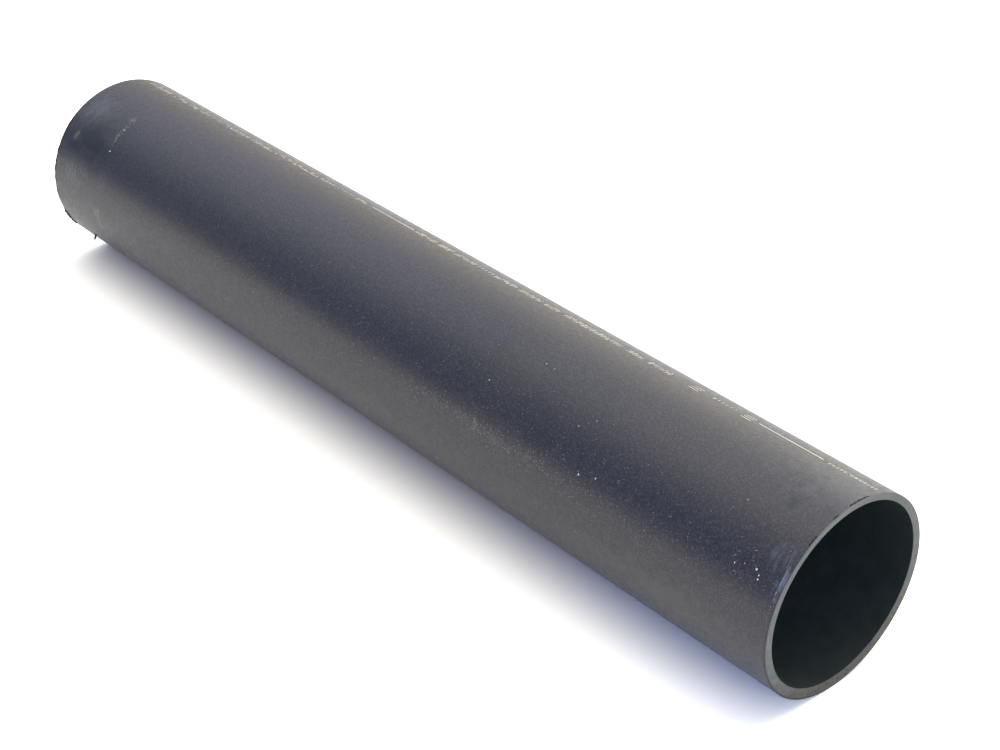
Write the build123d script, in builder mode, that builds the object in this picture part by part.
from build123d import *
import os

# A short length of black plastic drain pipe, lying on its side. It is one piece: a round tube
# whose bore sits a little off centre, cut from longer stock with a saw at both ends.
# The pipe lies along X and rests on the plane Z = 0, with the middle of its length over the origin.

# Driving dimensions, in millimetres
length = 620
outside_diameter = 110
wall_thickness = 5  # the mean: the off-centre bore makes it thinner on top and thicker underneath
bore_rise = 1.35  # from the axis of the outside up to the axis of the bore
edge_break = 0.5  # the outer edge of each cut, scraped with a blade

outside_radius = outside_diameter / 2
bore_radius = outside_radius - wall_thickness

# The far cut's plane, with its origin on the axis of the outside and its own Y pointing up
far_cut = Plane(origin=(-length / 2, 0, outside_radius), x_dir=(0, 1, 0), z_dir=(1, 0, 0))

with BuildPart() as pipe:
    with BuildSketch(far_cut) as section:
        Circle(outside_radius)
        with Locations((0, bore_rise)):
            Circle(bore_radius, mode=Mode.SUBTRACT)
    extrude(amount=length)

    sawn_faces = pipe.faces().filter_by(Axis.X)
    outer_edges = sawn_faces.edges().filter_by(lambda edge: edge.radius > bore_radius)
    chamfer(outer_edges, edge_break)

pipe.part.label = "pipe"

os.makedirs("parts", exist_ok=True)
export_step(pipe.part, "parts/pipe.step")
